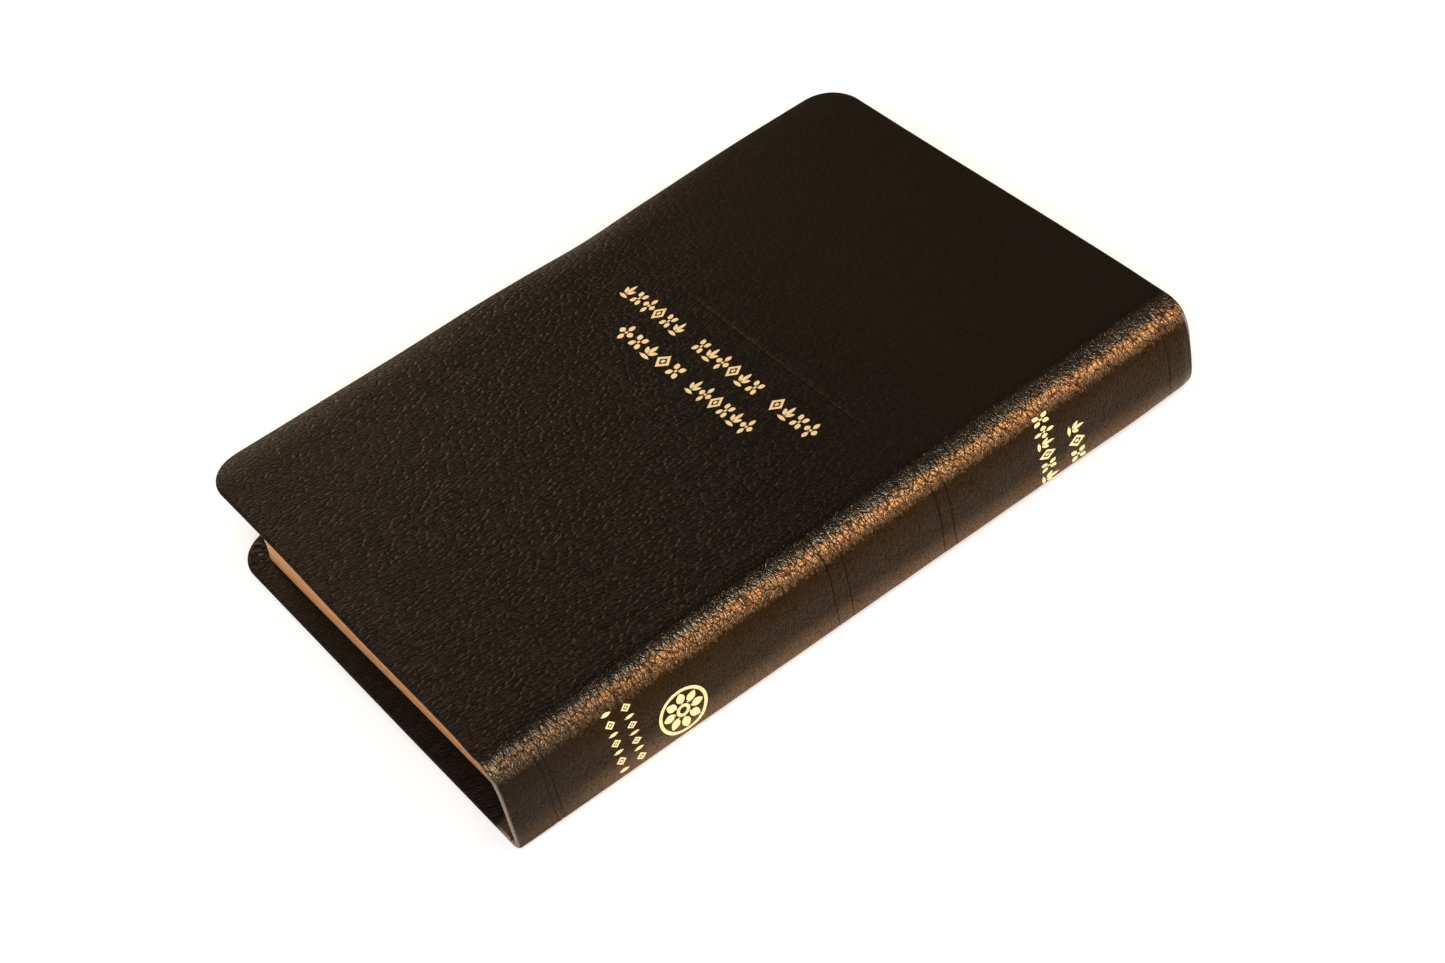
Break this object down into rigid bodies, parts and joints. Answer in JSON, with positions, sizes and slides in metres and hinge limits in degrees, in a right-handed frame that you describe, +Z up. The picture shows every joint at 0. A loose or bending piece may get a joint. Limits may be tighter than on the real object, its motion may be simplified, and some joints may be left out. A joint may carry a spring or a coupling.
{
  "type": "prayer book",
  "caption": "Closed limp leather prayer book with gilt-edged sewn sections: both covers turn at the spine and the text block opens flat at its middle.",
  "frame": {"origin": "under the middle of the closed book, on the surface that its back cover lies on", "axes": "+X from the fore edge to the spine, +Y from the tail to the head, +Z up from the back cover to the front cover"},
  "size_m": [0.14, 0.21, 0.028],
  "materials": {
    "leather": "satin",
    "card": "matte",
    "lining": "matte",
    "gilt_paper": "satin",
    "flyleaf": "matte",
    "kraft": "matte",
    "mull": "matte",
    "endband": "satin",
    "thread": "matte",
    "gold_foil": "satin"
  },
  "bodies": {
    "cover_back": {"back_cover_leather": "leather", "back_cover_card": "card", "back_cover_lining": "lining"},
    "block_lower": {"section_01": "gilt_paper", "section_02": "gilt_paper", "section_03": "gilt_paper", "section_04": "gilt_paper", "section_05": "gilt_paper", "section_06": "gilt_paper", "sewing_thread_lower": "thread", "back_flyleaf": "flyleaf", "spine_leather": "leather", "spine_card": "card", "hollow_tube": "kraft", "spine_mull": "mull", "head_band": "endband", "tail_band": "endband"},
    "block_upper": {"section_07": "gilt_paper", "section_08": "gilt_paper", "section_09": "gilt_paper", "section_10": "gilt_paper", "section_11": "gilt_paper", "section_12": "gilt_paper", "sewing_thread_upper": "thread"},
    "cover_front": {"front_cover_leather": "leather", "front_cover_card": "card", "front_cover_lining": "lining"},
    "leaf_front": {"front_flyleaf": "flyleaf"},
    "leaf_1": {"centre_leaf_1": "gilt_paper"},
    "leaf_2": {"centre_leaf_2": "gilt_paper"},
    "leaf_3": {"centre_leaf_3": "gilt_paper"}
  },
  "joints": [
    {"name": "back_cover_hinge", "type": "hinge", "parent": "cover_back", "child": "block_lower", "pos_m": [0.0685, 0, 0.0006], "axis": [0, -1, 0], "range_deg": [-90, 0]},
    {"name": "book_opening", "type": "hinge", "parent": "block_lower", "child": "block_upper", "pos_m": [0.07, 0, 0.014], "axis": [0, 1, 0], "range_deg": [0, 178], "deforming": ["spine_leather", "spine_card", "hollow_tube", "spine_mull", "head_band", "tail_band"]},
    {"name": "front_cover_hinge", "type": "hinge", "parent": "block_upper", "child": "cover_front", "pos_m": [0.0605, 0, 0.02815], "axis": [0, 1, 0], "range_deg": [0, 178]},
    {"name": "front_flyleaf_turn", "type": "hinge", "parent": "block_upper", "child": "leaf_front", "pos_m": [0.06, 0, 0.0255], "axis": [0, 1, 0], "range_deg": [0, 54]},
    {"name": "leaf_1_turn", "type": "hinge", "parent": "block_lower", "child": "leaf_1", "pos_m": [0.07, 0, 0.014], "axis": [0, 1, 0], "range_deg": [0, 45]},
    {"name": "leaf_2_turn", "type": "hinge", "parent": "block_lower", "child": "leaf_2", "pos_m": [0.07, 0, 0.014], "axis": [0, 1, 0], "range_deg": [0, 90]},
    {"name": "leaf_3_turn", "type": "hinge", "parent": "block_lower", "child": "leaf_3", "pos_m": [0.07, 0, 0.014], "axis": [0, 1, 0], "range_deg": [0, 135]}
  ],
  "couplings": [
    {"joint": "front_flyleaf_turn", "follows": "front_cover_hinge", "ratio": 0.3},
    {"joint": "leaf_1_turn", "follows": "book_opening", "ratio": 0.25},
    {"joint": "leaf_2_turn", "follows": "book_opening", "ratio": 0.5},
    {"joint": "leaf_3_turn", "follows": "book_opening", "ratio": 0.75}
  ]
}
